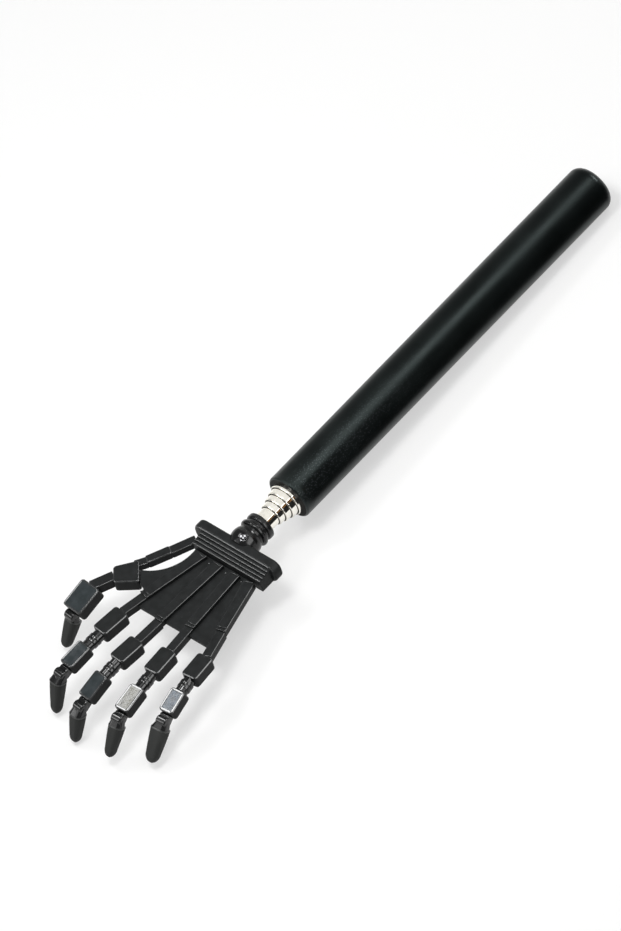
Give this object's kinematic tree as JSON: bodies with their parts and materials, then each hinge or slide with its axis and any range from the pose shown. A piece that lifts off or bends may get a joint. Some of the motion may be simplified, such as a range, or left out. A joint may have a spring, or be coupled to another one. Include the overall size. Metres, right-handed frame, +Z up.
{
  "type": "telescopic back scratcher",
  "caption": "Telescopic back scratcher: rubber-covered grip, chromed tubes that slide and turn in one another, and a black claw shaped like a mechanical left hand.",
  "frame": {"origin": "on the shaft's axis, at the middle of the grip's length", "axes": "+X along the shaft towards the fingers, +Y towards the little finger, +Z up from the back of the hand"},
  "size_m": [0.2318, 0.0558, 0.0251],
  "materials": {
    "grip_rubber": "smooth satin",
    "tube_chrome": "polished",
    "sleeve_bronze": "satin",
    "plug_plastic": "matte",
    "hand_black": "satin gloss",
    "tip_rubber": "matte",
    "screw_steel": "satin",
    "stud_brass": "turned"
  },
  "bodies": {
    "handle": {"grip_sleeve": "grip_rubber", "outer_tube": "tube_chrome", "rear_plug": "plug_plastic"},
    "stage_1": {"stage_1_tube": "tube_chrome", "stage_1_sleeve": "sleeve_bronze"},
    "stage_2": {"stage_2_tube": "tube_chrome", "stage_2_sleeve": "sleeve_bronze"},
    "stage_3": {"stage_3_tube": "tube_chrome", "stage_3_sleeve": "sleeve_bronze"},
    "stage_4": {"stage_4_sleeve": "sleeve_bronze"},
    "hand": {"stage_4_tube": "tube_chrome", "hand_stud": "stud_brass", "neck_socket": "hand_black", "neck_screw": "screw_steel", "wrist_bar": "hand_black", "palm_plate": "hand_black", "thumb": "hand_black", "index_finger": "hand_black", "middle_finger": "hand_black", "ring_finger": "hand_black", "little_finger": "hand_black", "thumb_tip": "tip_rubber", "index_tip": "tip_rubber", "middle_tip": "tip_rubber", "ring_tip": "tip_rubber", "little_tip": "tip_rubber"}
  },
  "joints": [
    {"name": "stage_1_slide", "type": "slide", "parent": "handle", "child": "stage_1", "axis": [1, 0, 0], "range_m": [0, 0.108]},
    {"name": "stage_2_slide", "type": "slide", "parent": "stage_1", "child": "stage_2", "axis": [1, 0, 0], "range_m": [0, 0.11]},
    {"name": "stage_3_slide", "type": "slide", "parent": "stage_2", "child": "stage_3", "axis": [1, 0, 0], "range_m": [0, 0.112]},
    {"name": "stage_4_slide", "type": "slide", "parent": "stage_3", "child": "stage_4", "axis": [1, 0, 0], "range_m": [0, 0.114]},
    {"name": "hand_swivel", "type": "hinge", "parent": "stage_4", "child": "hand", "pos_m": [0.08, 0, 0], "axis": [1, 0, 0], "continuous": true}
  ]
}
